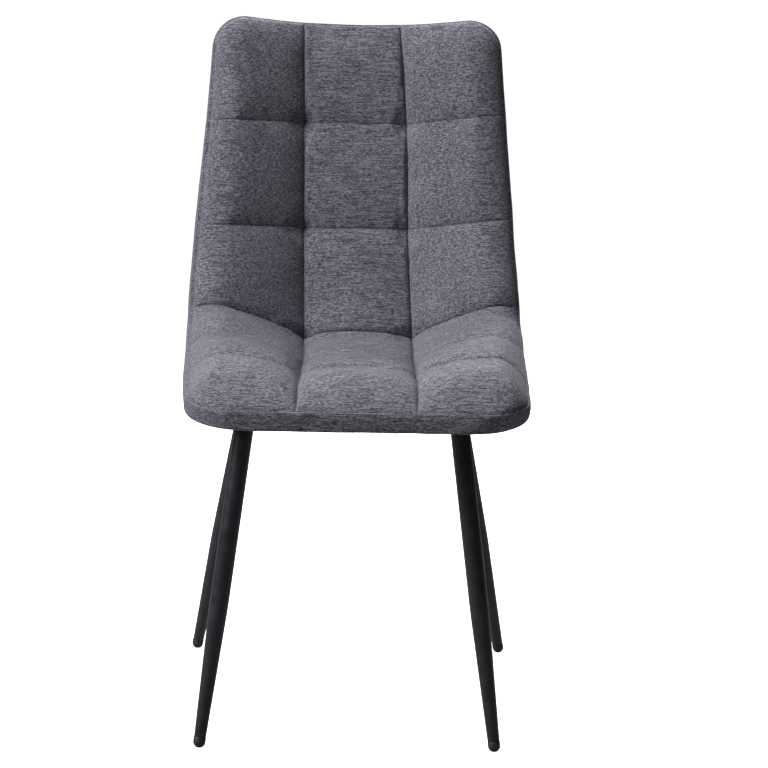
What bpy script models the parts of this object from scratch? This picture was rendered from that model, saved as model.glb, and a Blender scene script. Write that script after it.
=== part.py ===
"""Upholstered scoop dining chair on four tapered steel legs.

A bent and winged plywood shell carries glued seat and back foam, a quilted inside cover,
a boxing band round the edge, an outer back cover and a dust cover under the seat. Two
welded leg frames, each a flat steel crossbar with two legs, are bolted up into tee nuts in
the shell. Metres, +Z up, the sitter faces -Y, the floor is Z = 0.
"""

import math

import bmesh
import bpy
import numpy as np
from mathutils import Matrix, Vector

# Shell, measured along the plywood's front face from its front edge (s) and across (x).
FRONT_Y = -0.27075
DECK_Z = 0.4145
SEAT_FLAT = 0.385
CROOK_RADIUS = 0.065
CROOK_TURN = math.radians(68)
RECLINE_TOP = math.radians(8.5)
SCOOP_LENGTH = 0.09
SHELL_LENGTH = 0.8855
TOP_DIP = 0.006
PLY = 0.011

# Lines of sewing: two that run the whole length, drawing in towards the top, and five across.
# These and the sizes that change along the shell are smooth curves through values at STATIONS.
STATIONS = (0, 0.13, 0.27, 0.43, 0.60, 0.745, 0.886)
SEAM_X = (0.0724, 0.0720, 0.0716, 0.0730, 0.0720, 0.0702, 0.0665)
SEAM_S = (0.129, 0.272, 0.4417, 0.605, 0.7495)
HALF_WIDTH = (0.207, 0.2135, 0.218, 0.220, 0.2145, 0.204, 0.194)
WING = (0, 0.018, 0.034, 0.066, 0.046, 0.035, 0.030)
PADDING = (0.036, 0.0380, 0.0315, 0.030, 0.022, 0.0213, 0.021)
RIM_WIDTH = (0.030, 0.032, 0.034, 0.030, 0.026, 0.024, 0.022)
FRONT_CORNER = 0.050
TOP_CORNER = 0.042
WING_START_PLY = 0.085
WING_START_COVER = 0.060
WING_BLEND = 0.13
WING_POWER_PLY = 1.2
WING_POWER_COVER = 1.05

# Upholstery.
COVER = 0.0025
ARCH = 0.008
CROWN = 0.004
BAND = 0.0016
BAND_TOP = 0.0105
BAND_BOTTOM = -0.0135
SKIN = 0.0014
GAP = 0.0003
PLY_INSET = 0.0020
FOAM_INSET = 0.0030
FOAM_DROP = 0.0035
FOAM_JOINT = 0.0025
BULGE_POWER = 0.6
INSET_ZONE = 0.12
DUST_COVER = 0.0008
DUST_COVER_COLUMNS = 2

# Leg frames.
FRONT_FOOT = (0.1815, -0.2350)
FRONT_LEG_TOP = (0.1308, -0.1838)
REAR_FOOT = (0.2132, 0.2066)
REAR_LEG_TOP = (0.1356, 0.0974)
LEG_RADIUS = 0.0118
FOOT_RADIUS = 0.0074
LEG_WALL = 0.0012
TAPER_LENGTH = 0.172
CAP_RADIUS = 0.0077
CAP_FLAT = 0.0010
CAP_COLLAR = 0.0060
CAP_STEM = 0.0150
BAR_WIDTH = 0.040
BAR_HEIGHT = 0.005
BAR_CORNER = 0.010
BAR_OVERHANG = 0.018
BOLT_X = (0.026, 0.066)

# Fasteners, M6.
BOLT_RADIUS = 0.003
BOLT_LENGTH = 0.020
HEAD_RADIUS = 0.0055
HEAD_HEIGHT = 0.0033
HEAD_RIM = 0.0008
HEAD_FLAT_RADIUS = 0.0029
BOLT_CHAMFER = 0.0006
SOCKET_RADIUS = 0.0023
SOCKET_DEPTH = 0.0018
WASHER_RADIUS = 0.0062
WASHER = 0.0012
SPRING_WASHER_RADIUS = 0.0053
SPRING_WASHER = 0.0016
SPLIT = 0.0006
CLEARANCE_HOLE = 0.0035
TEE_FLANGE_RADIUS = 0.009
TEE_FLANGE = 0.0014
TEE_BARREL_RADIUS = 0.0039
TEE_BARREL = 0.008

BAR_TOP_Z = DECK_Z - PLY - GAP - SKIN - GAP - DUST_COVER - GAP
BAR_BOTTOM_Z = BAR_TOP_Z - BAR_HEIGHT


# ---------------------------------------------------------------- scene set-up


def clear_scene():
    for item in list(bpy.data.objects):
        bpy.data.objects.remove(item, do_unlink=True)


def collection(name):
    made = bpy.data.collections.new(name)
    bpy.context.scene.collection.children.link(made)
    return made


def material(name, colour, roughness, metallic=0.0):
    made = bpy.data.materials.new(name)
    made.use_nodes = True
    shader = made.node_tree.nodes["Principled BSDF"]
    shader.inputs["Base Color"].default_value = (*colour, 1)
    shader.inputs["Roughness"].default_value = roughness
    shader.inputs["Metallic"].default_value = metallic
    return made


clear_scene()
CHAIR = collection("dining_chair")
CUTTERS = collection("cutters")
FABRIC = material("grey_fabric", (0.13, 0.13, 0.155), 0.95)
FOAM = material("foam", (0.80, 0.76, 0.60), 0.90)
PLYWOOD = material("plywood", (0.62, 0.46, 0.28), 0.60)
NONWOVEN = material("black_nonwoven", (0.015, 0.015, 0.016), 0.95)
BLACK_STEEL = material("black_painted_steel", (0.012, 0.012, 0.013), 0.38, 0.2)
PLASTIC = material("black_plastic", (0.01, 0.01, 0.01), 0.50)
ZINC = material("zinc_plated_steel", (0.55, 0.56, 0.58), 0.35, 1.0)


def add_object(name, mesh, look, group=CHAIR):
    made = bpy.data.objects.new(name, mesh)
    group.objects.link(made)
    if look:
        mesh.materials.append(look)
    return made


def shade(obj, angle=35):
    obj.data.shade_smooth()
    obj.data.set_sharp_from_angle(angle=math.radians(angle))


def mesh_from(bm, name):
    mesh = bpy.data.meshes.new(name)
    bm.to_mesh(mesh)
    bm.free()
    return mesh


# ------------------------------------------------------------- shared shapes


def smooth(values, s):
    """A cubic through the values at STATIONS, with each slope taken from its neighbours."""
    at = np.array(STATIONS, float)
    value = np.array(values, float)
    slope = np.gradient(value, at)
    k = int(np.clip(np.searchsorted(at, s) - 1, 0, len(at) - 2))
    span = at[k + 1] - at[k]
    t = min(max((s - at[k]) / span, 0.0), 1.0)
    return float(
        value[k] * (1 + 2 * t) * (1 - t) ** 2
        + value[k + 1] * t * t * (3 - 2 * t)
        + slope[k] * span * t * (1 - t) ** 2
        + slope[k + 1] * span * t * t * (t - 1)
    )


def shell_heading(s):
    """Angle of the plywood's side profile above the horizontal."""
    crook_end = SEAT_FLAT + CROOK_RADIUS * CROOK_TURN
    settle = 1 - np.exp(-np.maximum(s - crook_end, 0) / SCOOP_LENGTH)
    bend = np.clip((s - SEAT_FLAT) / CROOK_RADIUS, 0, CROOK_TURN)
    return bend + (math.pi / 2 - RECLINE_TOP - CROOK_TURN) * settle


STEP = 0.001
PROFILE_S = np.arange(-0.02, SHELL_LENGTH + 0.03, STEP)
PROFILE_ANGLE = shell_heading(PROFILE_S)
PROFILE_Y = np.cumsum(np.cos(PROFILE_ANGLE)) * STEP
PROFILE_Z = np.cumsum(np.sin(PROFILE_ANGLE)) * STEP
PROFILE_Y += FRONT_Y - np.interp(0, PROFILE_S, PROFILE_Y)
PROFILE_Z += DECK_Z - np.interp(0, PROFILE_S, PROFILE_Z)
WINDOW = int(WING_BLEND / STEP)
WING_ANGLE = np.convolve(np.pad(PROFILE_ANGLE, WINDOW, mode="edge"), np.ones(2 * WINDOW + 1), "valid")
WING_ANGLE /= 2 * WINDOW + 1


def shell_end(x):
    return SHELL_LENGTH + TOP_DIP * (x / 0.15) ** 2


def half_width(s, inset=0.0):
    """Half the width of the outline at s, with its rounded corners, drawn in all round by inset."""
    half = smooth(HALF_WIDTH, s) - inset
    top_depth = shell_end(half + inset - TOP_CORNER) - s
    for radius, depth in ((FRONT_CORNER - inset, s - inset), (TOP_CORNER - inset, top_depth - inset)):
        if depth < radius:
            half += math.sqrt(max(radius**2 - (radius - max(depth, 0)) ** 2, 0)) - radius
    return half


def edge_distance(x, s):
    """Distance along the surface from (x, s) to the outline."""
    side = smooth(HALF_WIDTH, s) - abs(x)
    nearest = side
    for corner, depth in ((FRONT_CORNER, s), (TOP_CORNER, shell_end(x) - s)):
        if depth < corner and side < corner:
            nearest = min(nearest, corner - math.hypot(corner - side, corner - depth))
        else:
            nearest = min(nearest, depth)
    return max(nearest, 0.0)


def flare(x, s, start, power):
    reach = (abs(x) - start) / (smooth(HALF_WIDTH, s) - start)
    return min(max(reach, 0.0), 1.1) ** power


def shell_point(x, s, height, start=WING_START_PLY, power=WING_POWER_PLY):
    """The point at height above the plywood's front face, on the sitter's side."""
    out = flare(x, s, start, power)
    y = np.interp(s, PROFILE_S, PROFILE_Y)
    z = np.interp(s, PROFILE_S, PROFILE_Z)
    angle = np.interp(s, PROFILE_S, PROFILE_ANGLE)
    wing_angle = np.interp(s, PROFILE_S, WING_ANGLE)
    lift = smooth(WING, s) * out
    tilt = angle + (wing_angle - angle) * min(out, 1.0)
    y -= lift * math.sin(wing_angle) + height * math.sin(tilt)
    z += lift * math.cos(wing_angle) + height * math.cos(tilt)
    return Vector((x, y, z))


def cover_point(x, s, height):
    return shell_point(x, s, height, WING_START_COVER, WING_POWER_COVER)


def bulge(t):
    return (4 * t * (1 - t)) ** BULGE_POWER if 0 < t < 1 else 0.0


def padding_height(x, s, inset):
    """Height of the quilted face over the plywood, less inset on its top and its edges."""
    rows = (0.0, *SEAM_S, shell_end(x))
    row = int(np.clip(np.searchsorted(rows, s) - 1, 0, len(rows) - 2))
    along = bulge((s - rows[row]) / (rows[row + 1] - rows[row]))
    seam = smooth(SEAM_X, s)
    if abs(x) < seam:
        across = bulge((x + seam) / (2 * seam))
    else:
        across = bulge((abs(x) - seam) / (half_width(s) - seam + 1e-6))
    full = smooth(PADDING, s) + ARCH * across + CROWN * across * along - inset
    rim = smooth(RIM_WIDTH, s)
    inward = min(max(edge_distance(x, s) - inset, 0) / rim, 1.0)
    low = BAND_TOP + GAP - (inset if inset > COVER else 0)
    return low + (full - low) * math.sqrt(1 - (1 - inward) ** 2)


# -------------------------------------------------------- layered sheet parts

SIDE_STEPS = 5
CENTRE_STEPS = 2
END_STEPS = 5


def row_stations():
    """Stations along the shell, close together at its two ends and round the crook."""
    quarter = [math.pi / 2 * k / END_STEPS for k in range(END_STEPS + 1)]
    front = [SEAM_S[0] * (1 - math.cos(a)) for a in quarter]
    crook_end = SEAT_FLAT + CROOK_RADIUS * CROOK_TURN
    seat = [0.200, SEAM_S[1], 0.330, SEAT_FLAT, 0.404, 0.423, SEAM_S[2], crook_end]
    back = [0.495, 0.545, SEAM_S[3], 0.672, SEAM_S[4]]
    top = [SHELL_LENGTH - (SHELL_LENGTH - SEAM_S[4]) * (1 - math.sin(a)) for a in quarter[1:]]
    return front + seat + back + top


def column_shares():
    """Signed (inner share, outer share) pairs: inside the long seams, then out to the edge."""
    inner = [(k / CENTRE_STEPS, 0.0) for k in range(CENTRE_STEPS + 1)]
    outer = [(1.0, math.sin(math.pi / 2 * k / SIDE_STEPS)) for k in range(1, SIDE_STEPS + 1)]
    right = [(1, *pair) for pair in inner + outer]
    left = [(-1, *pair) for pair in reversed((inner + outer)[1:])]
    return left + right


ROWS = row_stations()
COLUMNS = column_shares()


def inset_row(s, inset):
    """Draws the stations near the two ends in by inset."""
    if s < INSET_ZONE:
        return inset + s * (1 - inset / INSET_ZONE)
    if s > SHELL_LENGTH - INSET_ZONE:
        return SHELL_LENGTH - inset - (SHELL_LENGTH - s) * (1 - inset / INSET_ZONE)
    return s


def surface_spot(column, row, inset):
    """(x, s) of one grid vertex, with the outline drawn in by inset."""
    side, inner, outer = column
    s = inset_row(row, inset)
    edge = half_width(s, inset)
    seam = smooth(SEAM_X, s)
    x = side * (seam * inner + (edge - seam) * outer)
    share = max(row - SEAM_S[4], 0) / (SHELL_LENGTH - SEAM_S[4])
    return x, s + (shell_end(x) - SHELL_LENGTH) * share


def split_quads(bm, place, middle):
    """Splits each quad of the sheets along the same diagonal in every layer, so that layers nest."""
    for face in [f for f in bm.faces if len(f.verts) == 4]:
        spots = {place[v]: v for v in face.verts}
        columns = sorted({column for column, _ in spots})
        rows = sorted({row for _, row in spots})
        if len(spots) < 4 or len(columns) < 2 or len(rows) < 2:
            continue
        if columns[0] < middle:
            columns.reverse()
        bmesh.utils.face_split(face, spots[columns[0], rows[0]], spots[columns[1], rows[1]])


def layered(name, look, top, bottom, rows=None, columns=None):
    """A closed sheet between two surfaces; each of them maps a column and a row to a point."""
    rows = rows or ROWS
    columns = columns or COLUMNS
    bm = bmesh.new()
    bmesh.ops.create_grid(bm, x_segments=len(columns) - 1, y_segments=len(rows) - 1, size=1)
    lower = sorted(bm.verts, key=lambda v: (round(v.co.y, 6), round(v.co.x, 6)))
    place = {vert: (k % len(columns), k // len(columns)) for k, vert in enumerate(lower)}
    at = {(round(v.co.x, 5), round(v.co.y, 5)): spot for v, spot in place.items()}
    made = bmesh.ops.extrude_face_region(bm, geom=bm.faces[:])
    upper = [item for item in made["geom"] if isinstance(item, bmesh.types.BMVert)]
    for vert in upper:
        place[vert] = at[(round(vert.co.x, 5), round(vert.co.y, 5))]
    for verts, surface in ((lower, bottom), (upper, top)):
        for vert in verts:
            column, row = place[vert]
            vert.co = surface(columns[column], rows[row])
    split_quads(bm, place, len(columns) // 2)
    bmesh.ops.recalc_face_normals(bm, faces=bm.faces[:])
    return add_object(name, mesh_from(bm, name), look)


def plate_surface(height, inset):
    return lambda column, row: shell_point(*surface_spot(column, row, inset), height)


def padded_surface(inset, depth):
    def place(column, row):
        x, s = surface_spot(column, row, inset)
        return cover_point(x, s, padding_height(x, s, depth))

    return place


def build_shell():
    shell = layered("plywood_shell", PLYWOOD, plate_surface(0, PLY_INSET), plate_surface(-PLY, PLY_INSET))
    for x, y in bolt_places():
        drill(shell, (x, y, DECK_Z - PLY / 2), TEE_BARREL_RADIUS + GAP, 2 * PLY)
        drill(shell, (x, y, DECK_Z), TEE_FLANGE_RADIUS + GAP, 2 * (TEE_FLANGE + GAP))
    return shell


def build_foam():
    joint = SEAM_S[2]
    seat = [s for s in ROWS if s < joint] + [joint - FOAM_JOINT / 2]
    back = [joint + FOAM_JOINT / 2] + [s for s in ROWS if s > joint]
    for name, rows in (("seat_foam", seat), ("back_foam", back)):
        layered(name, FOAM, padded_surface(FOAM_INSET, FOAM_DROP), plate_surface(GAP, FOAM_INSET), rows)


def build_cover():
    layered("quilted_cover", FABRIC, padded_surface(0, 0), padded_surface(COVER, COVER))


def build_under_covers():
    """The outer cover over the whole back of the shell, and the dust cover on the seat's flat."""
    top = -PLY - GAP
    bottom = top - SKIN
    inset = BAND + GAP
    outer = layered("outer_cover", FABRIC, plate_surface(top, inset), plate_surface(bottom, inset))
    top = bottom - GAP
    bottom = top - DUST_COVER
    middle = [c for c in COLUMNS if c[2] <= COLUMNS[-1 - SIDE_STEPS + DUST_COVER_COLUMNS][2]]
    seat = [s for s in ROWS[2:] if s <= SEAT_FLAT]
    surfaces = plate_surface(top, inset), plate_surface(bottom, inset)
    dust = layered("dust_cover", NONWOVEN, *surfaces, seat, middle)
    for x, y in bolt_places():
        drill(outer, (x, y, DECK_Z - PLY), CLEARANCE_HOLE, 4 * PLY)
        drill(dust, (x, y, DECK_Z - PLY), CLEARANCE_HOLE, 4 * PLY)


def outline_spots():
    """Grid spots once round the outline."""
    last = COLUMNS[-1]
    first = COLUMNS[0]
    front = [(column, ROWS[0]) for column in COLUMNS]
    right = [(last, row) for row in ROWS[1:]]
    top = [(column, ROWS[-1]) for column in reversed(COLUMNS[:-1])]
    left = [(first, row) for row in reversed(ROWS[1:-1])]
    return front + right + top + left


def build_band():
    """A strip round the edge: four rings of the outline, joined into a closed loop."""
    spots = outline_spots()
    bm = bmesh.new()
    bmesh.ops.create_cone(bm, cap_ends=False, segments=len(spots), radius1=1, radius2=1, depth=1)
    order = dict(zip(sorted({way_round(v) for v in bm.verts}), spots))
    outside = bm.verts[:]
    made = bmesh.ops.extrude_face_region(bm, geom=bm.faces[:])
    inside = [g for g in made["geom"] if isinstance(g, bmesh.types.BMVert)]
    for ring, inset in ((outside, 0), (inside, BAND)):
        for vert in ring:
            vert.co = band_point(order[way_round(vert)], vert.co.z > 0, inset)
    bmesh.ops.recalc_face_normals(bm, faces=bm.faces[:])
    add_object("boxing_band", mesh_from(bm, "boxing_band"), FABRIC)


def way_round(vert):
    return round(math.atan2(vert.co.y, vert.co.x) % (2 * math.pi), 4)


def band_point(spot, upper, inset):
    x, s = surface_spot(*spot, inset)
    return cover_point(x, s, BAND_TOP) if upper else shell_point(x, s, BAND_BOTTOM)


# -------------------------------------------------------------- turned parts


def applied(obj):
    """Replaces the object's mesh by its evaluated one, with its transform, and drops the modifiers."""
    bpy.context.view_layer.update()
    depsgraph = bpy.context.evaluated_depsgraph_get()
    mesh = bpy.data.meshes.new_from_object(obj.evaluated_get(depsgraph))
    mesh.transform(obj.matrix_world)
    obj.modifiers.clear()
    obj.data = mesh
    obj.matrix_world = Matrix.Identity(4)
    return obj


def turned(name, profile, look, steps=16, closed=False, group=CHAIR):
    """A profile in the XZ plane turned about Z; the profile runs down its outer side."""
    bm = bmesh.new()
    verts = [bm.verts.new((r, 0, z)) for r, z in profile]
    for a, b in zip(verts, verts[1:] + (verts[:1] if closed else [])):
        bm.edges.new((a, b))
    obj = add_object(name, mesh_from(bm, name), look, group)
    screw = obj.modifiers.new("turn", "SCREW")
    screw.steps = screw.render_steps = steps
    screw.merge_threshold = 0.00001
    screw.use_merge_vertices = True
    return obj


def stand(obj, base, direction=(0, 0, 1)):
    """Turns the object's Z along direction and puts its origin at base."""
    turn = Vector((0, 0, 1)).rotation_difference(Vector(direction))
    obj.matrix_world = Matrix.Translation(base) @ turn.to_matrix().to_4x4()
    return obj


def cut(obj, cutter):
    cutter.hide_render = True
    cutter.display_type = "WIRE"
    step = obj.modifiers.new(cutter.name, "BOOLEAN")
    step.object = cutter


def drill(obj, centre, radius, depth, sides=12):
    bm = bmesh.new()
    bmesh.ops.create_cone(bm, cap_ends=True, segments=sides, radius1=radius, radius2=radius, depth=depth)
    cutter = add_object(f"drill_{obj.name}", mesh_from(bm, "drill"), None, CUTTERS)
    cutter.location = centre
    cut(obj, cutter)


def box(name, centre, size, look=None, group=CHAIR):
    bm = bmesh.new()
    bmesh.ops.create_cube(bm, size=1)
    bmesh.ops.scale(bm, vec=size, verts=bm.verts)
    bmesh.ops.translate(bm, vec=centre, verts=bm.verts)
    return add_object(name, mesh_from(bm, name), look, group)


# ---------------------------------------------------------------- leg frames


def leg_line(foot, top):
    """The leg's foot on the floor, its top under the crossbar, and the way up between them."""
    base = Vector((*foot, 0))
    head = Vector((*top, BAR_BOTTOM_Z - GAP))
    return base, head, (head - base).normalized()


def cap_centre(direction):
    """How far up the leg's line the foot cap's ball is centred."""
    return (CAP_RADIUS - CAP_FLAT) / direction.z


def build_leg(name, foot, top):
    base, head, up = leg_line(foot, top)
    tip = cap_centre(up) + CAP_COLLAR + GAP
    crown = (head - base).length + 2 * LEG_RADIUS
    knee = TAPER_LENGTH / up.z
    outer = [(LEG_RADIUS, crown), (LEG_RADIUS, knee), (FOOT_RADIUS, tip)]
    bore = [(r - LEG_WALL, z) for r, z in reversed(outer)]
    leg = turned(name, outer + bore, BLACK_STEEL, steps=20, closed=True)
    stand(leg, base, up)
    applied(leg)
    saw = box(f"saw_{name}", head + Vector((0, 0, 0.05)), (0.1, 0.1, 0.1), group=CUTTERS)
    cut(leg, saw)
    shade(applied(leg))


def build_cap(name, foot, top):
    base, _, up = leg_line(foot, top)
    middle = cap_centre(up)
    stem = FOOT_RADIUS - LEG_WALL - GAP
    shoulder = middle + CAP_COLLAR
    quarter = [math.pi / 2 * k / 5 for k in range(6)]
    ball = [(CAP_RADIUS * math.cos(a), middle - CAP_RADIUS * math.sin(a)) for a in quarter]
    profile = [(0, shoulder + CAP_STEM), (stem, shoulder + CAP_STEM), (stem, shoulder)]
    profile += [(CAP_RADIUS, shoulder), *ball[:-1], (0, middle - CAP_RADIUS)]
    cap = turned(name, profile, PLASTIC)
    stand(cap, base, up)
    applied(cap)
    floor = box(f"floor_{name}", base - Vector((0, 0, 0.05)), (0.1, 0.1, 0.1), group=CUTTERS)
    cut(cap, floor)
    shade(applied(cap))


def build_crossbar(name, half_length, y):
    """A flat bar with rounded ends, drilled for the bolts."""
    middle = Vector((0, y, BAR_TOP_Z - BAR_HEIGHT / 2))
    bar = box(name, middle, (2 * half_length, BAR_WIDTH, BAR_HEIGHT), BLACK_STEEL)
    bm = bmesh.new()
    bm.from_mesh(bar.data)
    upright = [e for e in bm.edges if abs(e.verts[0].co.z - e.verts[1].co.z) > BAR_HEIGHT / 2]
    bmesh.ops.bevel(bm, geom=upright, offset=BAR_CORNER, segments=4, affect="EDGES", profile=0.5)
    bm.to_mesh(bar.data)
    bm.free()
    for x in signed(BOLT_X):
        drill(bar, (x, y, middle.z), CLEARANCE_HOLE, 2 * BAR_HEIGHT)
    applied(bar)


def signed(values):
    return [-v for v in reversed(values)] + list(values)


def bolt_places():
    return [(x, y) for y in (FRONT_LEG_TOP[1], REAR_LEG_TOP[1]) for x in signed(BOLT_X)]


def build_frames():
    for end, foot, top in (("front", FRONT_FOOT, FRONT_LEG_TOP), ("rear", REAR_FOOT, REAR_LEG_TOP)):
        half_length = top[0] + BAR_OVERHANG
        build_crossbar(f"{end}_crossbar", half_length, top[1])
        for word, side in (("left", -1), ("right", 1)):
            place = (side * foot[0], foot[1]), (side * top[0], top[1])
            build_leg(f"{end}_{word}_leg", *place)
            build_cap(f"{end}_{word}_foot_cap", *place)


# ------------------------------------------------------------------ fasteners


def build_washer(name, x, y, top):
    hole = BOLT_RADIUS + GAP
    ring = [(WASHER_RADIUS, top), (WASHER_RADIUS, top - WASHER), (hole, top - WASHER), (hole, top)]
    washer = turned(name, ring, ZINC, steps=14, closed=True)
    washer.location = (x, y, 0)
    applied(washer)


def build_spring_washer(name, x, y, top):
    """A split ring: one turn that stops short of its start."""
    hole = BOLT_RADIUS + GAP
    bottom = top - SPRING_WASHER
    ring = [(SPRING_WASHER_RADIUS, top), (SPRING_WASHER_RADIUS, bottom), (hole, bottom), (hole, top)]
    washer = turned(name, ring, ZINC, steps=14, closed=True)
    washer.location = (x, y, 0)
    applied(washer)
    reach = 0.01
    slit = box(f"slit_{name}", (x + reach / 2, y, top), (reach, SPLIT, reach), group=CUTTERS)
    cut(washer, slit)
    applied(washer)


def build_bolt(name, x, y, seat):
    """A button-head screw with a hex socket, its head hanging below seat."""
    tip = seat + BOLT_LENGTH
    low = seat - HEAD_HEIGHT
    shank = [(0, tip), (BOLT_RADIUS - BOLT_CHAMFER, tip), (BOLT_RADIUS, tip - BOLT_CHAMFER)]
    shoulder = (HEAD_RADIUS + HEAD_FLAT_RADIUS) / 2, low + BOLT_CHAMFER
    rim = [(BOLT_RADIUS, seat), (HEAD_RADIUS, seat), (HEAD_RADIUS, seat - HEAD_RIM)]
    bolt = turned(name, shank + rim + [shoulder, (HEAD_FLAT_RADIUS, low), (0, low)], ZINC, steps=14)
    bolt.location = (x, y, 0)
    applied(bolt)
    drill(bolt, (x, y, low), SOCKET_RADIUS, 2 * SOCKET_DEPTH, sides=6)
    applied(bolt)


def build_tee_nut(name, x, y):
    """A flanged nut let into the shell's front face, its barrel in the through hole."""
    top = DECK_Z - GAP
    hole = BOLT_RADIUS + GAP
    under = top - TEE_FLANGE
    low = under - TEE_BARREL
    flange = [(TEE_FLANGE_RADIUS, top), (TEE_FLANGE_RADIUS, under)]
    barrel = [(TEE_BARREL_RADIUS, under), (TEE_BARREL_RADIUS, low), (hole, low), (hole, top)]
    nut = turned(name, flange + barrel, ZINC, steps=14, closed=True)
    nut.location = (x, y, 0)
    applied(nut)


def build_fasteners():
    for number, (x, y) in enumerate(bolt_places(), 1):
        washer_top = BAR_BOTTOM_Z - GAP
        spring_top = washer_top - WASHER - GAP
        build_washer(f"flat_washer_{number}", x, y, washer_top)
        build_spring_washer(f"spring_washer_{number}", x, y, spring_top)
        build_bolt(f"bolt_{number}", x, y, spring_top - SPRING_WASHER - GAP)
        build_tee_nut(f"tee_nut_{number}", x, y)


build_shell()
build_foam()
build_cover()
build_band()
build_under_covers()
build_frames()
build_fasteners()
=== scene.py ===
"""The looks of an upholstered dining chair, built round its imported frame.

The cover is a quilted cloth sheet, blown up by a cloth simulation between its sewn lines. The
band, the outer cover, the dust cover, the foam, the legs and the fasteners are fine meshes made
from the CAD part's driving sizes. The corners, the padding and the seams differ from the CAD part
by a few millimetres, to follow the photo. Metres, +Z up, the sitter faces -Y.
"""

import math

import bmesh
import bpy
import numpy as np
from mathutils import Matrix, Vector, noise


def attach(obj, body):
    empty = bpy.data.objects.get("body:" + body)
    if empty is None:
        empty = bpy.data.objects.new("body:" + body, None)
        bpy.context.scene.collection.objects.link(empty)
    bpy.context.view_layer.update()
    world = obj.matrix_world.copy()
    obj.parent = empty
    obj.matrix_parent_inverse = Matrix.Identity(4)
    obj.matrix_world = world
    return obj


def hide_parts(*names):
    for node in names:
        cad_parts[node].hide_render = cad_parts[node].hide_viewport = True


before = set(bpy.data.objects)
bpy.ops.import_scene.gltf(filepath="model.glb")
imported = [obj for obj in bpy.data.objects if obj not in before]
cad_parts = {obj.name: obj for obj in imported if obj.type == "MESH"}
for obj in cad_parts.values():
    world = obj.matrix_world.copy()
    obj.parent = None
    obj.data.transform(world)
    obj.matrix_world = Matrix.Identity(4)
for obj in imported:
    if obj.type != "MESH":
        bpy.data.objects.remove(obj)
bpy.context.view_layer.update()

# ---------------- driving sizes

# The shell's side profile, by the distance s along it from its front edge.
FRONT_Y = -0.27075
DECK_Z = 0.4145
SEAT_FLAT = 0.385
CROOK_RADIUS = 0.065
CROOK_TURN = math.radians(68)
RECLINE_TOP = math.radians(8.5)
SCOOP_LENGTH = 0.09
SHELL_LENGTH = 0.8855
TOP_DIP = 0.006
PLY = 0.011

# From the front: lists of seven hold a value at each of the STATIONS, lists of five one at each cross
# seam, and CROWN one for each row of panels. A crease, pull, dimple, roll or pucker is a depth and its
# reach, and the depth of CROSS_PULL is a share of SEAM_DEPTH.
STATIONS = (0, 0.13, 0.27, 0.43, 0.60, 0.745, 0.886)
SEAM_S = (0.129, 0.272, 0.4417, 0.605, 0.7495)
HALF_WIDTH = (0.205, 0.213, 0.219, 0.222, 0.215, 0.2033, 0.1925)
WING = (0, 0.018, 0.034, 0.066, 0.046, 0.035, 0.030)
PADDING = (0.0335, 0.0360, 0.0335, 0.030, 0.022, 0.0213, 0.021)
RIM_WIDTH = (0.044, 0.044, 0.046, 0.046, 0.048, 0.048, 0.040)
FRONT_CORNER = 0.050
FRONT_CORNER_LOW = 0.075
TOP_CORNER = 0.041
WING_START_PLY = 0.085
WING_START_COVER = 0.060
WING_BLEND = 0.13
WING_POWER_PLY = 1.2
WING_POWER_COVER = 1.05
COVER = 0.0025
ARCH_MIDDLE = (0.0095, 0.0095, 0.0045, 0.0085, 0.0, -0.0025, -0.0020)
ARCH_SIDE = (0.0100, 0.0115, 0.0040, 0.0040, 0.0006, 0.0004, 0.0004)
BOLSTER = (0.0, 0.0015, 0.0045, 0.0070, 0.0090, 0.0100, 0.0080)
BOLSTER_CREST = 0.72
SEAM_DEPTH = (0.0040, 0.0044, 0.0034, 0.0013, 0.0012)
SEAM_WIDTH = (0.0036, 0.0034, 0.0022, 0.0014, 0.0014)
CROWN = (0.0060, 0.0085, 0.0050, 0.0022, 0.0022, 0.0022)
BULGE_POWER = 0.6
SEAM_CREASE = (0.0032, 0.0014)
SEAM_PULL = (0.0017, 0.0070)
CROSS_PULL = (0.5, 0.0080)
DIMPLE = (0.0082, 0.014)
EDGE_ROLL = (0.0036, 0.0016)
EDGE_FADE = 0.012
BAND = 0.0016
BAND_TOP = 0.0105
BAND_MIDDLE = 0.001
BAND_BOTTOM = -0.0135
BAND_PUFF = 0.0009
BAND_SLACK = 0.0007
BAND_HEM_WAVE = 0.0008
BAND_LOWER_ROLL = (0.0011, 0.07)
BAND_UPPER_ROLL = (0.0040, 0.055)
SKIN = 0.0014
GAP = 0.0003
PLY_INSET = 0.0020
FOAM_INSET = 0.0030
FOAM_DROP = 0.0035
FOAM_JOINT = 0.0025
DUST_COVER = 0.0008
INSET_ZONE = 0.12
RIM_POWER = 0.75
FRONT_ROLL = 0.062
FRONT_ROLL_POWER = 1.75
TUCK = (0.001, 0.0030, 0.0036, 0.0040, 0.0042, 0.0038, 0.0005)
TUCK_RIGHT = 0.55

FRONT_FOOT = (0.1815, -0.2350)
FRONT_LEG_TOP = (0.1308, -0.1838)
REAR_FOOT = (0.2132, 0.2066)
REAR_LEG_TOP = (0.1356, 0.0974)
LEG_RADIUS = 0.0118
FOOT_RADIUS = 0.0074
LEG_WALL = 0.0012
TAPER_LENGTH = 0.172
CAP_RADIUS = 0.0077
CAP_FLAT = 0.0010
CAP_COLLAR = 0.0060
CAP_STEM = 0.0150
BAR_WIDTH = 0.040
BAR_HEIGHT = 0.005
BAR_CORNER = 0.010
BAR_OVERHANG = 0.018
BOLT_X = (0.026, 0.066)

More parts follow.
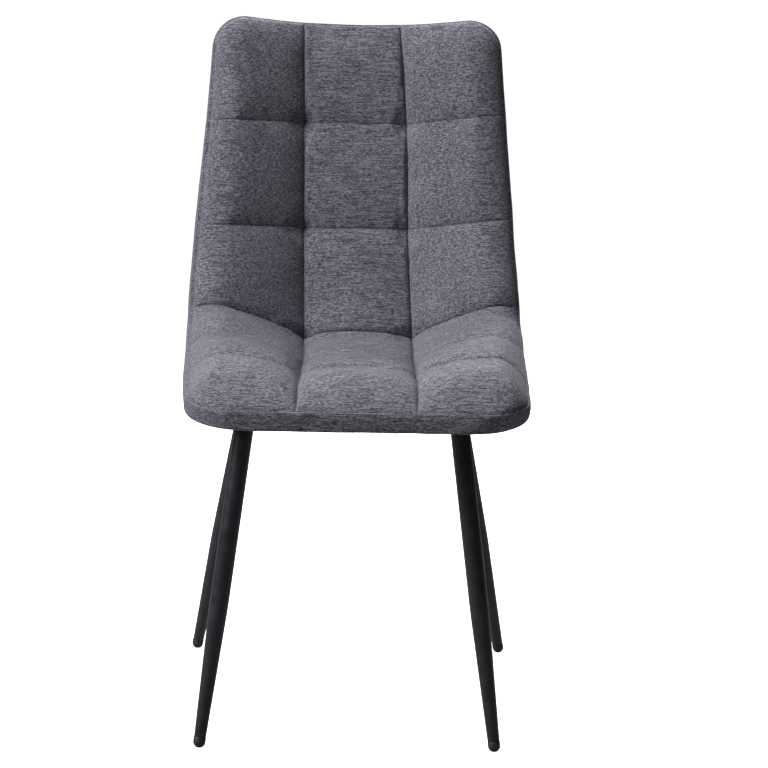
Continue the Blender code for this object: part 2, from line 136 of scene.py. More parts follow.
BOLT_RADIUS = 0.003
BOLT_LENGTH = 0.020
HEAD_RADIUS = 0.0055
HEAD_HEIGHT = 0.0033
SOCKET_RADIUS = 0.0023
SOCKET_DEPTH = 0.0018
WASHER_RADIUS = 0.0062
WASHER = 0.0012
SPRING_WASHER_RADIUS = 0.0053
SPRING_WASHER = 0.0016
SPLIT = 0.0006
CLEARANCE_HOLE = 0.0035
TEE_FLANGE_RADIUS = 0.009
TEE_FLANGE = 0.0014
TEE_BARREL_RADIUS = 0.0039
TEE_BARREL = 0.008
THREADS = 18
THREAD_PITCH = 0.001
THREAD_DEPTH = 0.0003
BOLT_CHAMFER = 0.0006
HEAD_FLAT_RADIUS = 0.0031
HEAD_RIM = 0.0006
STAPLE_HALF_LENGTH = 0.005
STAPLE_HALF_WIRE = 0.0006

BAR_TOP_Z = DECK_Z - PLY - GAP - SKIN - GAP - DUST_COVER - GAP
BAR_BOTTOM_Z = BAR_TOP_Z - BAR_HEIGHT

# The sewing as it really runs: the shell leans, and the long and the cross seams wander.
DRIFT = (0.0075, 0.0042, 0.0024, 0.0006, -0.0010, -0.0008, -0.0018)
SEAM_LEFT = (0.0748, 0.0705, 0.0674, 0.0681, 0.0695, 0.0715, 0.0728)
SEAM_RIGHT = (0.0695, 0.0733, 0.0756, 0.0783, 0.0730, 0.0686, 0.0588)
# The skews and the rise have a value at the front edge, at each cross seam and at the top edge.
SKEW_LEFT = (0.0, 0.0, 0.0, -0.004, -0.004, -0.002, 0.0)
SKEW_RIGHT = (0.0, 0.002, 0.0, 0.008, 0.012, 0.012, 0.0)
SEAM_RISE = (0.0, 0.0, 0.0, 0.005, 0.0, 0.0, 0.0)

PANEL_COLUMNS = 48
PANEL_ROWS = (44, 44, 50, 46, 44, 44)
FOAM_COLUMNS = 16
FOAM_ROWS = (12, 12, 14, 14, 12, 12)
CLOTH_EVERY = 2
CLOTH_FRAMES = 20
PUFF_LIMIT = 0.005
PUFF_CALM = 0.045
START_ARCH = 0.92
START_CROWN = 0.8
LONG_PUCKER = (0.00022, 0.014)
CROSS_PUCKER = (0.00015, 0.012)
WAVES = ((16, 21.0, 0.0012), (38, 5.0, 0.0004))

# ---------------- the shell's surfaces


def cubic(a, b, slope_a, slope_b, t):
    """From a at t = 0 to b at t = 1, with these slopes at the two ends."""
    return (
        a * (1 + 2 * t) * (1 - t) ** 2
        + b * t * t * (3 - 2 * t)
        + slope_a * t * (1 - t) ** 2
        + slope_b * t * t * (t - 1)
    )


def fading(distance, depth, reach):
    return depth * np.exp(-distance / reach)


def smooth(values, s):
    """A cubic through the values at STATIONS, with each slope taken from its neighbours."""
    at = np.array(STATIONS, float)
    value = np.array(values, float)
    slope = np.gradient(value, at)
    s = np.asarray(s, float)
    k = np.clip(np.searchsorted(at, s) - 1, 0, len(at) - 2)
    span = at[k + 1] - at[k]
    t = np.clip((s - at[k]) / span, 0, 1)
    return cubic(value[k], value[k + 1], slope[k] * span, slope[k + 1] * span, t)


def shell_heading(s):
    """Angle of the plywood's side profile above the horizontal."""
    crook_end = SEAT_FLAT + CROOK_RADIUS * CROOK_TURN
    settle = 1 - np.exp(-np.maximum(s - crook_end, 0) / SCOOP_LENGTH)
    bend = np.clip((s - SEAT_FLAT) / CROOK_RADIUS, 0, CROOK_TURN)
    return bend + (math.pi / 2 - RECLINE_TOP - CROOK_TURN) * settle


STEP = 0.001
PROFILE_S = np.arange(-0.02, SHELL_LENGTH + 0.03, STEP)
PROFILE_ANGLE = shell_heading(PROFILE_S)
PROFILE_Y = np.cumsum(np.cos(PROFILE_ANGLE)) * STEP
PROFILE_Z = np.cumsum(np.sin(PROFILE_ANGLE)) * STEP
PROFILE_Y += FRONT_Y - np.interp(0, PROFILE_S, PROFILE_Y)
PROFILE_Z += DECK_Z - np.interp(0, PROFILE_S, PROFILE_Z)
WINDOW = int(WING_BLEND / STEP)
WING_ANGLE = np.convolve(np.pad(PROFILE_ANGLE, WINDOW, mode="edge"), np.ones(2 * WINDOW + 1), "valid")
WING_ANGLE /= 2 * WINDOW + 1


def shell_end(x):
    """Where the top edge runs: lowest in the middle, level across the corners."""
    return SHELL_LENGTH + TOP_DIP * (np.minimum(np.abs(x), HALF_WIDTH[-1] - TOP_CORNER) / 0.15) ** 2


def top_shift(x, s):
    """How far the dipped top edge moves s, from nothing at the last cross seam."""
    share = np.clip((s - SEAM_S[4]) / (SHELL_LENGTH - SEAM_S[4]), 0, 1)
    return (shell_end(x) - SHELL_LENGTH) * share


def half_width(s, inset=0.0, front=FRONT_CORNER):
    """Half the width of the outline at s, with its rounded corners, drawn in all round by inset."""
    full = smooth(HALF_WIDTH, s)
    half = full - inset
    for corner, depth in ((front, s), (TOP_CORNER, SHELL_LENGTH - s)):
        radius = corner - inset
        short = np.clip(corner - np.maximum(depth, inset), 0, radius)
        half = half + np.sqrt(radius**2 - short**2) - radius
    return half


def edge_distance(x, s):
    """Distance along the surface from (x, s) to the outline."""
    side = smooth(HALF_WIDTH, s) - np.abs(x)
    nearest = side
    for corner, depth in ((FRONT_CORNER, s), (TOP_CORNER, shell_end(x) - s)):
        rounded = corner - np.hypot(corner - side, corner - depth)
        in_corner = (depth < corner) & (side < corner)
        nearest = np.minimum(nearest, np.where(in_corner, rounded, depth))
    return np.maximum(nearest, 0)


def height_direction(x, s, start, power):
    """The wing's lift at (x, s), its direction, and the direction that heights are measured in."""
    reach = (np.abs(x) - start) / (smooth(HALF_WIDTH, s) - start)
    out = np.clip(reach, 0, 1.1) ** power
    angle = np.interp(s, PROFILE_S, PROFILE_ANGLE)
    wing_angle = np.interp(s, PROFILE_S, WING_ANGLE)
    tilt = angle + (wing_angle - angle) * np.minimum(out, 1)
    return smooth(WING, s) * out, wing_angle, tilt


def shell_point(x, s, height, start=WING_START_PLY, power=WING_POWER_PLY):
    """The point at height above the plywood's front face, on the sitter's side."""
    x, s = np.broadcast_arrays(np.asarray(x, float), np.asarray(s, float))
    lift, wing_angle, tilt = height_direction(x, s, start, power)
    y = np.interp(s, PROFILE_S, PROFILE_Y) - lift * np.sin(wing_angle) - height * np.sin(tilt)
    z = np.interp(s, PROFILE_S, PROFILE_Z) + lift * np.cos(wing_angle) + height * np.cos(tilt)
    return np.stack([x + smooth(DRIFT, s), y, z], -1)


def cover_point(x, s, height):
    """As shell_point, for the cover, whose edge is tucked in from the outline."""
    share = np.clip(np.abs(x) / smooth(HALF_WIDTH, s), 0, 1) ** 4
    tuck = smooth(TUCK, s) * share * np.where(np.asarray(x) > 0, TUCK_RIGHT, 1)
    return shell_point(x - np.sign(x) * tuck, s, height, WING_START_COVER, WING_POWER_COVER)


def bulge(t):
    return np.maximum(4 * t * (1 - t), 0) ** BULGE_POWER


def rim_share(x, s, inset=0.0):
    """0 at the outline and 1 where the full padding starts, which at the front is further in."""
    inward = np.clip(np.maximum(edge_distance(x, s) - inset, 0) / smooth(RIM_WIDTH, s), 0, 1)
    rim = (1 - (1 - inward) ** 2) ** RIM_POWER
    roll = 1 - (1 - np.clip((s - inset) / FRONT_ROLL, 0, 1)) ** FRONT_ROLL_POWER
    lower = np.minimum(rim, roll)
    blend = 0.3 * (1 - lower) + 1e-6
    share = np.clip(0.5 + 0.5 * (roll - rim) / blend, 0, 1)
    return np.maximum(roll * (1 - share) + rim * share - blend * share * (1 - share), 0)


def drawn_in(nominal, inset):
    """Rows of the outline, moved away from its front and its top by up to inset."""
    front = np.where(nominal < INSET_ZONE, inset + nominal * (1 - inset / INSET_ZONE), nominal)
    left = SHELL_LENGTH - nominal
    back = SHELL_LENGTH - inset - left * (1 - inset / INSET_ZONE)
    return np.where(left < INSET_ZONE, back, front)


# ---------------- mesh building


def add_object(name, mesh, look):
    made = bpy.data.objects.new(name, mesh)
    bpy.context.scene.collection.objects.link(made)
    if look:
        mesh.materials.append(look)
    return made


def mesh_object(name, points, faces, look, sharp=None):
    mesh = bpy.data.meshes.new(name)
    mesh.from_pydata(np.asarray(points).reshape(-1, 3).tolist(), [], faces)
    mesh.validate()
    bm = bmesh.new()
    bm.from_mesh(mesh)
    bmesh.ops.recalc_face_normals(bm, faces=bm.faces[:])
    bm.to_mesh(mesh)
    bm.free()
    mesh.shade_smooth()
    if sharp:
        mesh.set_sharp_from_angle(angle=math.radians(sharp))
    return add_object(name, mesh, look)


def grid_faces(rows, columns, wrap_rows=False, wrap_columns=False, start=0):
    r = np.arange(rows if wrap_rows else rows - 1)[:, None]
    c = np.arange(columns if wrap_columns else columns - 1)[None, :]
    after_r = (r + 1) % rows
    after_c = (c + 1) % columns
    corners = [r * columns + c, r * columns + after_c, after_r * columns + after_c, after_r * columns + c]
    faces = np.stack([np.broadcast_to(k, (len(r), c.size)) for k in corners], -1) + start
    return faces.reshape(-1, 4).tolist()


def loft_faces(count, around, closed=False, start=0):
    faces = grid_faces(count, around, closed, True, start)
    if not closed:
        faces += [[start + first + k for k in range(around)] for first in (0, (count - 1) * around)]
    return faces


def loft(name, rings, look, closed=False, sharp=None):
    """Rings of points joined in order; the last joins the first if closed, or both ends are capped."""
    rings = np.asarray(rings, float)
    return mesh_object(name, rings, loft_faces(*rings.shape[:2], closed), look, sharp)


def closed_sheet(name, outer, inner, look):
    """Two grids of points joined all round into one closed cloth."""
    rows, columns = outer.shape[:2]
    total = rows * columns
    faces = grid_faces(rows, columns) + grid_faces(rows, columns, start=total)
    front = list(range(columns))
    right = [r * columns + columns - 1 for r in range(1, rows)]
    top = [(rows - 1) * columns + c for c in range(columns - 2, -1, -1)]
    left = [r * columns for r in range(rows - 2, 0, -1)]
    border = front + right + top + left
    for a, b in zip(border, border[1:] + border[:1]):
        faces.append([b, a, a + total, b + total])
    return mesh_object(name, np.concatenate([outer.reshape(-1, 3), inner.reshape(-1, 3)]), faces, look)


def turned(name, profile, look, centre=(0, 0), steps=40, closed=False, sharp=30):
    """A profile of (radius, z) points turned about a vertical line."""
    angle = np.linspace(0, 2 * math.pi, steps, endpoint=False)
    radius = np.maximum(np.array([p[0] for p in profile]), 1e-5)
    height = np.array([p[1] for p in profile])
    x = centre[0] + radius[:, None] * np.cos(angle)
    y = centre[1] + radius[:, None] * np.sin(angle)
    z = np.broadcast_to(height[:, None], x.shape)
    return loft(name, np.stack([x, y, z], -1), look, closed, sharp)


def place(piece, slot, *nodes):
    """Rides the piece on the chair and hides the CAD nodes that it stands for; slot is not used."""
    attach(piece, "root")
    if nodes:
        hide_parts(*nodes)


def rolling(points, scale, seed):
    """Smooth noise from -1 to 1 at each point."""
    flat = np.asarray(points, float).reshape(-1, 3) * scale
    values = [noise.noise(Vector((p[0] + seed, p[1], p[2]))) for p in flat]
    return np.array(values).reshape(np.asarray(points).shape[:-1])


# ---------------- materials


class Look:
    """A material and short ways to add nodes to it."""

    def __init__(self, name, roughness, metallic=0.0):
        self.material = bpy.data.materials.new(name)
        self.material.use_nodes = True
        self.tree = self.material.node_tree
        self.shader = self.tree.nodes["Principled BSDF"]
        self.shader.inputs["Roughness"].default_value = roughness
        self.shader.inputs["Metallic"].default_value = metallic
        self.where = self.tree.nodes.new("ShaderNodeTexCoord").outputs["Object"]

    def feed(self, socket, value):
        if isinstance(value, bpy.types.NodeSocket):
            self.tree.links.new(value, socket)
        else:
            socket.default_value = value

    def node(self, kind, values=(), **settings):
        made = self.tree.nodes.new(kind)
        for key, value in settings.items():
            setattr(made, key, value)
        for key, value in dict(values).items():
            self.feed(made.inputs[key], value)
        return made

    def stretched(self, scale, offset=(0, 0, 0)):
        values = {"Vector": self.where, "Scale": scale, "Location": offset}
        return self.node("ShaderNodeMapping", values).outputs["Vector"]

    def noise(self, scale, detail=2.0, roughness=0.5, offset=(0, 0, 0)):
        """Noise whose cells are 1/scale metres long each way."""
        where = self.stretched(scale, offset)
        values = {"Vector": where, "Scale": 1.0, "Detail": detail, "Roughness": roughness}
        return self.node("ShaderNodeTexNoise", values).outputs["Fac"]

    def math(self, operation, a, b):
        return self.node("ShaderNodeMath", {0: a, 1: b}, operation=operation).outputs[0]

    def total(self, *parts):
        """The sum of (share, value) pairs."""
        terms = [self.math("MULTIPLY", value, share) for share, value in parts]
        made = terms[0]
        for term in terms[1:]:
            made = self.math("ADD", made, term)
        return made

    def ramp(self, factor, stops):
        """A colour for the factor, from (place, colour) stops."""
        made = self.node("ShaderNodeValToRGB", {"Fac": factor})
        ramp = made.color_ramp
        while len(ramp.elements) < len(stops):
            ramp.elements.new(0.5)
        for element, (at, colour) in zip(ramp.elements, stops):
            element.position = at
            element.color = (*colour, 1)
        return made.outputs["Color"]

    def two_tone(self, factor, dark, light, low=0.3):
        return self.ramp(factor, ((low, dark), (0.7, light)))

    def range(self, value, low, high, start=0.0, end=1.0):
        values = {"Value": value, "From Min": start, "From Max": end, "To Min": low, "To Max": high}
        return self.node("ShaderNodeMapRange", values).outputs["Result"]

    def bump(self, height, strength, distance, below=None):
        values = {"Height": height, "Strength": strength, "Distance": distance}
        if below:
            values["Normal"] = below
        return self.node("ShaderNodeBump", values).outputs["Normal"]

    def set(self, **sockets):
        for key, value in sockets.items():
            self.feed(self.shader.inputs[key.replace("_", " ")], value)


def yarns(look, pitch):
    """Height of a plain weave: yarns across along X, and up along Y plus Z."""
    axes = look.node("ShaderNodeSeparateXYZ", {"Vector": look.where})
    along = look.math("ADD", axes.outputs["Y"], axes.outputs["Z"])
    warp = look.math("SINE", look.math("MULTIPLY", axes.outputs["X"], 2 * math.pi / pitch), 0)
    weft = look.math("SINE", look.math("MULTIPLY", along, 2 * math.pi / pitch), 0)
    return look.math("MULTIPLY", warp, weft)


def melange(name, dark, middle, light):
    """Heathered upholstery cloth: short slubs that run across, finer flecks, and a plain weave."""
    look = Look(name, 0.95)
    slubs = look.noise((240, 850, 850), 1.0, 0.6)
    long_slubs = look.noise((42, 600, 600), 1.0, 0.5, (2, 8, 6))
    flecks = look.noise((600, 1500, 1500), 1.0, 0.5, (3, 5, 7))
    clouds = look.noise((22, 30, 30), 2.0, 0.5, (9, 2, 4))
    mixed = look.total((0.5, slubs), (0.30, long_slubs), (0.22, flecks), (0.06, clouds))
    darkest, lightest = 0.432, 0.648
    shade = look.range(mixed, 0, 1, darkest, lightest)
    colour = look.ramp(shade, ((0.0, dark), (0.5, middle), (1.0, light)))
    weave = yarns(look, pitch=0.0011)
    height = look.math("ADD", look.math("MULTIPLY", weave, 0.18), slubs)
    normal = look.bump(height, 0.55, 0.0009)
    look.set(Base_Color=colour, Normal=normal, Roughness=look.range(flecks, 0.85, 1.0))
    look.set(Sheen_Weight=0.06, Sheen_Roughness=0.4, Specular_IOR_Level=0.12)
    return look.material


def thread_look():
    look = Look("sewing_thread", 0.7)
    twist = look.noise((900, 900, 900), 1.0)
    look.set(Base_Color=look.two_tone(twist, (0.035, 0.035, 0.045), (0.10, 0.10, 0.12)))
    look.set(Normal=look.bump(twist, 0.5, 0.0003), Sheen_Weight=0.2)
    return look.material


def powder_coat():
    look = Look("black_powder_coat", 0.36)
    fine = look.noise((1400, 1400, 1400), 2.0)
    broad = look.noise((60, 60, 60), 2.0, 0.5, (1, 2, 3))
    look.set(Base_Color=look.two_tone(broad, (0.0176, 0.0167, 0.0219), (0.0305, 0.0290, 0.0374)))
    look.set(Roughness=look.range(broad, 0.30, 0.42, 0.3, 0.7), Normal=look.bump(fine, 0.12, 0.0002))
    return look.material


def black_plastic():
    look = Look("black_moulded_plastic", 0.5)
    grain = look.noise((1800, 1800, 1800), 2.0)
    look.set(Base_Color=look.two_tone(grain, (0.0188, 0.0178, 0.0219), (0.0375, 0.0357, 0.0438)))
    look.set(Roughness=look.range(grain, 0.42, 0.6), Normal=look.bump(grain, 0.2, 0.0002))
    return look.material


def zinc():
    look = Look("zinc_plate", 0.32, 1.0)
    spangle = look.noise((700, 700, 700), 3.0)
    look.set(Base_Color=look.two_tone(spangle, (0.45, 0.46, 0.47), (0.68, 0.69, 0.70)))
    look.set(Roughness=look.range(spangle, 0.25, 0.42), Normal=look.bump(spangle, 0.1, 0.0001))
    return look.material


def plywood():
    look = Look("beech_plywood", 0.6)
    grain = look.noise((420, 14, 14), 4.0, 0.6)
    streaks = look.noise((90, 5, 5), 2.0, 0.5, (4, 4, 4))
    both = look.total((0.6, grain), (0.4, streaks))
    look.set(Base_Color=look.two_tone(both, (0.40, 0.25, 0.12), (0.66, 0.47, 0.27)))
    look.set(Roughness=look.range(grain, 0.5, 0.7), Normal=look.bump(grain, 0.2, 0.0003))
    return look.material


def foam():
    look = Look("polyurethane_foam", 0.95)
    cells = look.node("ShaderNodeTexVoronoi", {"Vector": look.where, "Scale": 900.0}).outputs["Distance"]
    tint = look.noise((40, 40, 40), 2.0)
    look.set(Base_Color=look.two_tone(tint, (0.74, 0.68, 0.48), (0.85, 0.80, 0.62)))
    look.set(Normal=look.bump(cells, 0.6, 0.0006))
    return look.material


def nonwoven():
    look = Look("black_nonwoven_cloth", 0.92)
    fibres = look.noise((700, 260, 260), 4.0, 0.7)
    dots = look.node("ShaderNodeTexVoronoi", {"Vector": look.where, "Scale": 450.0}).outputs["Distance"]
    look.set(Base_Color=look.two_tone(fibres, (0.010, 0.010, 0.011), (0.045, 0.045, 0.047), 0.35))
    look.set(Normal=look.bump(dots, 0.35, 0.0004, look.bump(fibres, 0.3, 0.0003)), Sheen_Weight=0.15)
    return look.material


DARK_YARN = (0.060, 0.060, 0.077)
MIDDLE_YARN = (0.166, 0.166, 0.198)
LIGHT_YARN = (0.335, 0.335, 0.392)
CLOTH_LOOK = melange("grey_melange_cloth", DARK_YARN, MIDDLE_YARN, LIGHT_YARN)
THREAD_LOOK = thread_look()
STEEL_LOOK = powder_coat()
PLASTIC_LOOK = black_plastic()
ZINC_LOOK = zinc()
PLY_LOOK = plywood()
FOAM_LOOK = foam()
NONWOVEN_LOOK = nonwoven()


# ---------------- the quilted cover


def clustered(count, share=0.85):
    """Shares from 0 to 1, closer together near both ends."""
    even = np.linspace(0, 1, count + 1)
    return (1 - share) * even + share * (1 - np.cos(math.pi * even)) / 2


def panel_grid(counts):
    """(panel, share) of each grid line, with one line on each seam."""
    panel = [0]
    share = [0.0]
    for k, count in enumerate(counts):
        panel += [k] * count
        share += list(clustered(count)[1:])
    return np.array(panel), np.array(share)


class Quilt:
    """The quilted face of the padding, sampled on a grid that follows its seams."""

    def __init__(self, columns, rows, inset=0.0):
        self.column_panel, self.column_share = panel_grid([columns] * 3)
        self.row_panel, self.row_share = panel_grid(rows)
        ends = np.array([0, *SEAM_S, SHELL_LENGTH])
        row = self.row_panel
        t = self.row_share[:, None]
        nominal = (ends[row] + self.row_share * (ends[row + 1] - ends[row]))[:, None]
        nominal = drawn_in(nominal, inset)
        u = self.column_share[None, :]
        panel = self.column_panel[None, :]
        edge = half_width(nominal, inset)
        left = smooth(SEAM_LEFT, nominal)
        right = smooth(SEAM_RIGHT, nominal)
        bounds = [-edge, -left, right, edge]
        x = sum(np.where(panel == k, bounds[k] + u * (bounds[k + 1] - bounds[k]), 0) for k in range(3))
        outward = np.where(panel == 0, 1 - u, np.where(panel == 2, u, 0)) ** 1.2

        def between(values):
            """The row's own value of its lower seam, blended into that of its upper one."""
            values = np.array(values)
            return values[row][:, None] * (1 - t) + values[row + 1][:, None] * t

        skew = np.where(x < 0, between(SKEW_LEFT), between(SKEW_RIGHT))
        last = (row == len(SEAM_S))[:, None]
        top = np.where(last, (shell_end(x) - SHELL_LENGTH) * t, 0)
        middle = np.where(panel == 1, 4 * u * (1 - u), 0) * between(SEAM_RISE)
        self.x = x
        self.s = nominal + skew * outward + top + middle
        self.across = np.broadcast_to(bulge(u), x.shape)
        self.along = np.broadcast_to(bulge(t), x.shape)
        self.rim = rim_share(x, self.s, inset)
        self.full = smooth(PADDING, self.s)
        self.arch = np.where(panel == 1, smooth(ARCH_MIDDLE, self.s), smooth(ARCH_SIDE, self.s))
        self.crown = np.array(CROWN)[row][:, None]
        toward_edge = np.where(panel == 0, 1 - u, np.where(panel == 2, u, 0))
        self.full = self.full + smooth(BOLSTER, self.s) * np.minimum(toward_edge / BOLSTER_CREST, 1) ** 1.1
        self.edge = edge_distance(x, self.s)
        self.tilt = height_direction(x, self.s, WING_START_COVER, WING_POWER_COVER)[2]

    def surface(self, arch=1.0, crown=1.0, below=0.0):
        """The face at its place, with these shares of its arch and crown, and this far below."""
        low = BAND_TOP + GAP
        full = self.full + arch * self.arch * self.across + crown * self.crown * self.across * self.along
        return cover_point(self.x, self.s, low + (full - low) * self.rim - below)

    def up(self):
        """The direction that heights are measured in."""
        return np.stack([np.zeros_like(self.tilt), -np.sin(self.tilt), np.cos(self.tilt)], -1)

    def seam_distance(self):
        """Distance along the surface to the nearest long seam and cross seam, and which cross seam."""
        long_seam = np.minimum(
            np.abs(self.x + smooth(SEAM_LEFT, self.s)),
            np.abs(self.x - smooth(SEAM_RIGHT, self.s)),
        )
        cross = np.full(self.s.shape, 1.0)
        number = np.zeros(self.s.shape, int)
        for k in np.flatnonzero((self.row_share == 1) & (self.row_panel < len(SEAM_S))):
            away = np.abs(self.s - self.s[k][None, :])
            number = np.where(away < cross, self.row_panel[k], number)
            cross = np.minimum(cross, away)
        return long_seam, cross, number

    def seam_drop(self):
        """How far the sewing pulls the face in: along the seams, and more where they cross."""
        long_seam, cross, number = self.seam_distance()
        depth, width = np.array(SEAM_DEPTH)[number], np.array(SEAM_WIDTH)[number]
        drop = fading(long_seam, *SEAM_CREASE) + fading(long_seam, *SEAM_PULL)
        drop += depth * (np.exp(-cross / width) + fading(cross, *CROSS_PULL))
        drop += fading(long_seam**2 + cross**2, DIMPLE[0], DIMPLE[1] ** 2)
        return drop * np.clip(self.edge / EDGE_FADE, 0, 1)


def normals_of(points):
    """Unit normals of a grid of points."""
    across = np.gradient(points, axis=1)
    along = np.gradient(points, axis=0)
    found = np.cross(across, along)
    return found / np.maximum(np.linalg.norm(found, axis=-1, keepdims=True), 1e-12)


CLOTH_SETTINGS = {
    "quality": 6,
    "mass": 0.25,
    "tension_stiffness": 14,
    "compression_stiffness": 6,
    "shear_stiffness": 4,
    "bending_stiffness": 0.4,
    "vertex_group_mass": "sewn",
    "shrink_min": -0.005,
    "use_pressure": True,
    "uniform_pressure_force": 4.0,
}


def puffed(points, sewn):
    """The grid after a cloth simulation under pressure, held where it is sewn."""
    rows, columns = points.shape[:2]
    cloth = mesh_object("cloth_try", points, grid_faces(rows, columns), None)
    group = cloth.vertex_groups.new(name="sewn")
    group.add(np.flatnonzero(sewn.ravel()).tolist(), 1.0, "REPLACE")
    modifier = cloth.modifiers.new("puff", "CLOTH")
    for key, value in CLOTH_SETTINGS.items():
        setattr(modifier.settings, key, value)
    modifier.settings.effector_weights.gravity = 0
    modifier.collision_settings.use_collision = False
    scene = bpy.context.scene
    for span in (scene, modifier.point_cache):
        span.frame_start = 1
        span.frame_end = CLOTH_FRAMES
    for number in range(1, CLOTH_FRAMES + 1):
        scene.frame_set(number)
    result = cloth.evaluated_get(bpy.context.evaluated_depsgraph_get())
    moved = np.zeros(rows * columns * 3, np.float32)
    result.data.vertices.foreach_get("co", moved)
    bpy.data.objects.remove(cloth, do_unlink=True)
    scene.frame_set(1)
    return moved.reshape(points.shape).astype(float)


def refined(values, places, count):
    """Values given at these places along the first axis, smoothly filled in to count of them."""
    at = np.arange(count)
    k = np.clip(np.searchsorted(places, at, side="right") - 1, 0, len(places) - 2)
    t = ((at - places[k]) / (places[k + 1] - places[k])).reshape(-1, *[1] * (values.ndim - 1))
    before = values[np.maximum(k - 1, 0)]
    after = values[np.minimum(k + 2, len(places) - 1)]
    a, b = values[k], values[k + 1]
    return cubic(a, b, (b - before) / 2, (after - a) / 2, t)


def quilted_surface(quilt):
    """The cover's face: the padded shape, puffed between its seams, then creased along them."""
    start = quilt.surface(START_ARCH, START_CROWN)
    rows, columns = start.shape[:2]
    r = np.arange(0, rows, CLOTH_EVERY)
    c = np.arange(0, columns, CLOTH_EVERY)
    coarse = start[np.ix_(r, c)]
    on_row = (quilt.row_share[r] == 1) | (r == 0)
    on_column = (quilt.column_share[c] == 1) | (c == 0)
    sewn = on_row[:, None] | on_column[None, :]
    moved = puffed(coarse, sewn) - coarse
    moved = refined(moved, r, rows)
    moved = np.swapaxes(refined(np.swapaxes(moved, 0, 1), c, columns), 0, 1)
    length = np.linalg.norm(moved, axis=-1, keepdims=True)
    moved *= PUFF_LIMIT * np.tanh(length / PUFF_LIMIT) / np.maximum(length, 1e-9)
    calm = np.clip(quilt.edge / PUFF_CALM, 0, 1)[..., None]
    points = start + moved * calm * calm * (3 - 2 * calm)

    long_seam, cross, _ = quilt.seam_distance()
    spots = np.stack([quilt.x, quilt.s, np.zeros_like(quilt.s)], -1)
    pucker = rolling(spots * (0.25, 1.3, 1), 70, 3.0) * fading(long_seam, *LONG_PUCKER)
    pucker += rolling(spots * (1.3, 0.25, 1), 70, 11.0) * fading(cross, *CROSS_PUCKER)
    waves = sum(rolling(spots, scale, seed) * size for scale, seed, size in WAVES)
    loose = (waves * quilt.across * quilt.along + pucker) * np.clip(quilt.edge / EDGE_FADE, 0, 1)
    drop = quilt.seam_drop() - loose
    edge_roll = fading(quilt.edge, *EDGE_ROLL)
    return points - quilt.up() * drop[..., None] - normals_of(points) * edge_roll[..., None]


def build_cover(quilt):
    outer = quilted_surface(quilt)
    inner = outer - normals_of(outer) * COVER * np.clip(quilt.edge / 0.004, 0.25, 1)[..., None]
    cover = closed_sheet("quilted_seat_and_back_cover", outer, inner, CLOTH_LOOK)
    place(cover, "grey_fabric", "quilted_cover")


# ---------------- plain sheets


def plain_grid(rows, columns, inset):
    """(x, s) on an even grid inside the lower outline, drawn in by inset."""
    stretch = np.linspace(0, 1, rows)
    nominal = (0.4 * stretch + 0.6 * (1 - np.cos(math.pi * stretch)) / 2) * SHELL_LENGTH
    s = drawn_in(nominal, inset)[:, None]
    across = np.sin(np.linspace(-math.pi / 2, math.pi / 2, columns))[None, :]
    x = half_width(s, inset, FRONT_CORNER_LOW) * across
    return x, s + top_shift(x, nominal[:, None])


def build_foam():
    """The two foam pads under the cover, with the same seams pulled into them."""
    face = Quilt(FOAM_COLUMNS, FOAM_ROWS, FOAM_INSET)
    top = face.surface(below=FOAM_DROP + COVER) - face.up() * face.seam_drop()[..., None]
    foot = Quilt(FOAM_COLUMNS, FOAM_ROWS, FRONT_CORNER_LOW - FRONT_CORNER)
    base = shell_point(foot.x, foot.s, GAP)
    joint = sum(FOAM_ROWS[:3])
    for name, rows, step in (("seat_foam", slice(0, joint + 1), -1), ("back_foam", slice(joint, None), 1)):
        upper, lower = top[rows].copy(), base[rows].copy()
        for grid in (upper, lower):
            end, near = (-1, -2) if step < 0 else (0, 1)
            away = grid[near] - grid[end]
            grid[end] += away / np.linalg.norm(away, axis=-1, keepdims=True) * FOAM_JOINT / 2
        pad = closed_sheet(f"{name}_pad", upper, lower, FOAM_LOOK)
        place(pad, "foam", name)


def build_plywood():
    x, s = plain_grid(150, 72, PLY_INSET)
    top, bottom = shell_point(x, s, 0.0), shell_point(x, s, -PLY)
    board = closed_sheet("bent_plywood_shell", top, bottom, PLY_LOOK)
    board.data.set_sharp_from_angle(angle=math.radians(50))
    place(board, "plywood", "plywood_shell")
    return board


def build_outer_cover():
    x, s = plain_grid(190, 90, BAND + GAP)
    calm = np.clip(edge_distance(x, s) / 0.03, 0, 1) * np.clip((s - SEAT_FLAT) / 0.05, 0, 1)
    spots = np.stack([x, s * 0.6, np.zeros_like(x)], -1)
    fold = np.exp(-(((s - 0.45) / 0.06) ** 2))
    ripple = rolling(spots, 22, 2.0) * 0.0006 + rolling(spots * (0.6, 3, 1), 30, 8.0) * 0.0007 * fold
    top = -PLY - GAP
    sag = np.maximum(ripple + 0.0006, 0) * calm
    outer = shell_point(x, s, top)
    inner = shell_point(x, s, top - SKIN - sag)
    cover = closed_sheet("outer_back_cover", outer, inner, CLOTH_LOOK)
    place(cover, "grey_fabric", "outer_cover")


HEM = 0.012
DUST_REACH = 0.155
DUST_FRONT = 0.0246


def near_bar(y):
    """1 at the two crossbars and 0 away from them."""
    gap = np.minimum(np.abs(y - FRONT_LEG_TOP[1]), np.abs(y - REAR_LEG_TOP[1]))
    return np.clip((BAR_WIDTH / 2 + 0.012 - gap) / 0.008, 0, 1)


